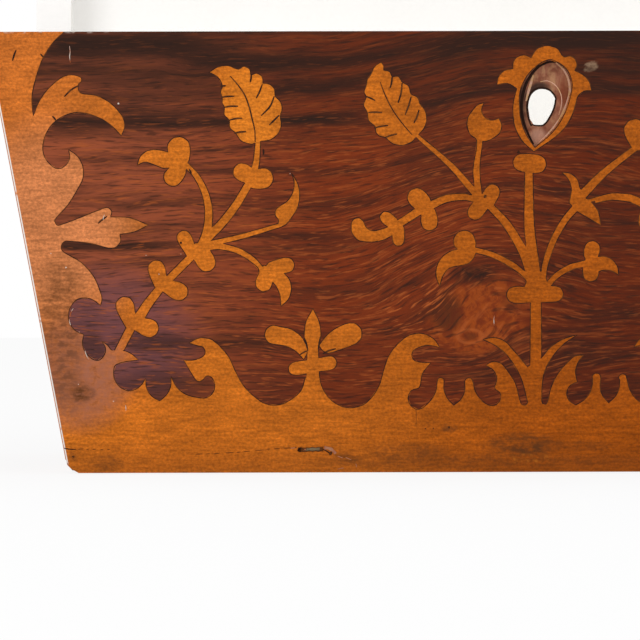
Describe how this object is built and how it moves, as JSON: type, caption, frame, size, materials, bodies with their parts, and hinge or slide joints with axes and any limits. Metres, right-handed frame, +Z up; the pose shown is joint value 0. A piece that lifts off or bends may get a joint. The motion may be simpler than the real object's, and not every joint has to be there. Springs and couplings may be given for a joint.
{
  "type": "sarcophagus box",
  "caption": "Tapered sarcophagus box of rosewood veneer with satinwood floral marquetry, a hinged lid standing open, a pale paper lining and an empty keyhole.",
  "frame": {"origin": "centre of the underside, on the surface the box stands on", "axes": "+Z up, +X to the right when the front is looked at, the front faces -Y"},
  "size_m": [0.3, 0.2599, 0.3156],
  "materials": {
    "carcass_pine": "raw planed softwood",
    "rosewood": "polished rosewood veneer",
    "satinwood": "polished satinwood inlay",
    "lining": "pale lining paper",
    "brass": "worn brass"
  },
  "bodies": {
    "case": {"base_board": "carcass_pine", "front_board": "carcass_pine", "right_board": "carcass_pine", "back_board": "carcass_pine", "left_board": "carcass_pine", "rim_facing": "rosewood", "front_ground_veneer": "rosewood", "left_ground_veneer": "rosewood", "right_ground_veneer": "rosewood", "back_veneer": "rosewood", "front_border": "satinwood", "front_palmettes": "satinwood", "front_left_spray": "satinwood", "front_centre_spray": "satinwood", "front_right_spray": "satinwood", "left_border": "satinwood", "right_border": "satinwood", "front_lining": "lining", "back_lining": "lining", "left_lining": "lining", "right_lining": "lining", "floor_lining": "lining", "left_hinge_case_leaf": "brass", "right_hinge_case_leaf": "brass", "left_hinge_pin": "brass", "right_hinge_pin": "brass", "case_hinge_screws": "brass"},
    "lid": {"lid_front_rail": "carcass_pine", "lid_back_rail": "carcass_pine", "lid_left_rail": "carcass_pine", "lid_right_rail": "carcass_pine", "lid_front_slope": "carcass_pine", "lid_back_slope": "carcass_pine", "lid_left_slope": "carcass_pine", "lid_right_slope": "carcass_pine", "lid_top_board": "carcass_pine", "lid_front_veneers": "rosewood", "lid_back_veneers": "rosewood", "lid_left_veneers": "rosewood", "lid_right_veneers": "rosewood", "lid_top_ground_veneer": "rosewood", "lid_top_border": "satinwood", "lid_lining_panel": "lining", "lid_rim_facing": "lining", "left_hinge_lid_leaf": "brass", "right_hinge_lid_leaf": "brass", "lid_hinge_screws": "brass"}
  },
  "joints": [
    {"name": "lid_hinge", "type": "hinge", "parent": "case", "child": "lid", "pos_m": [0, 0.0974, 0.12015], "axis": [1, 0, 0], "range_deg": [0, 98]}
  ]
}
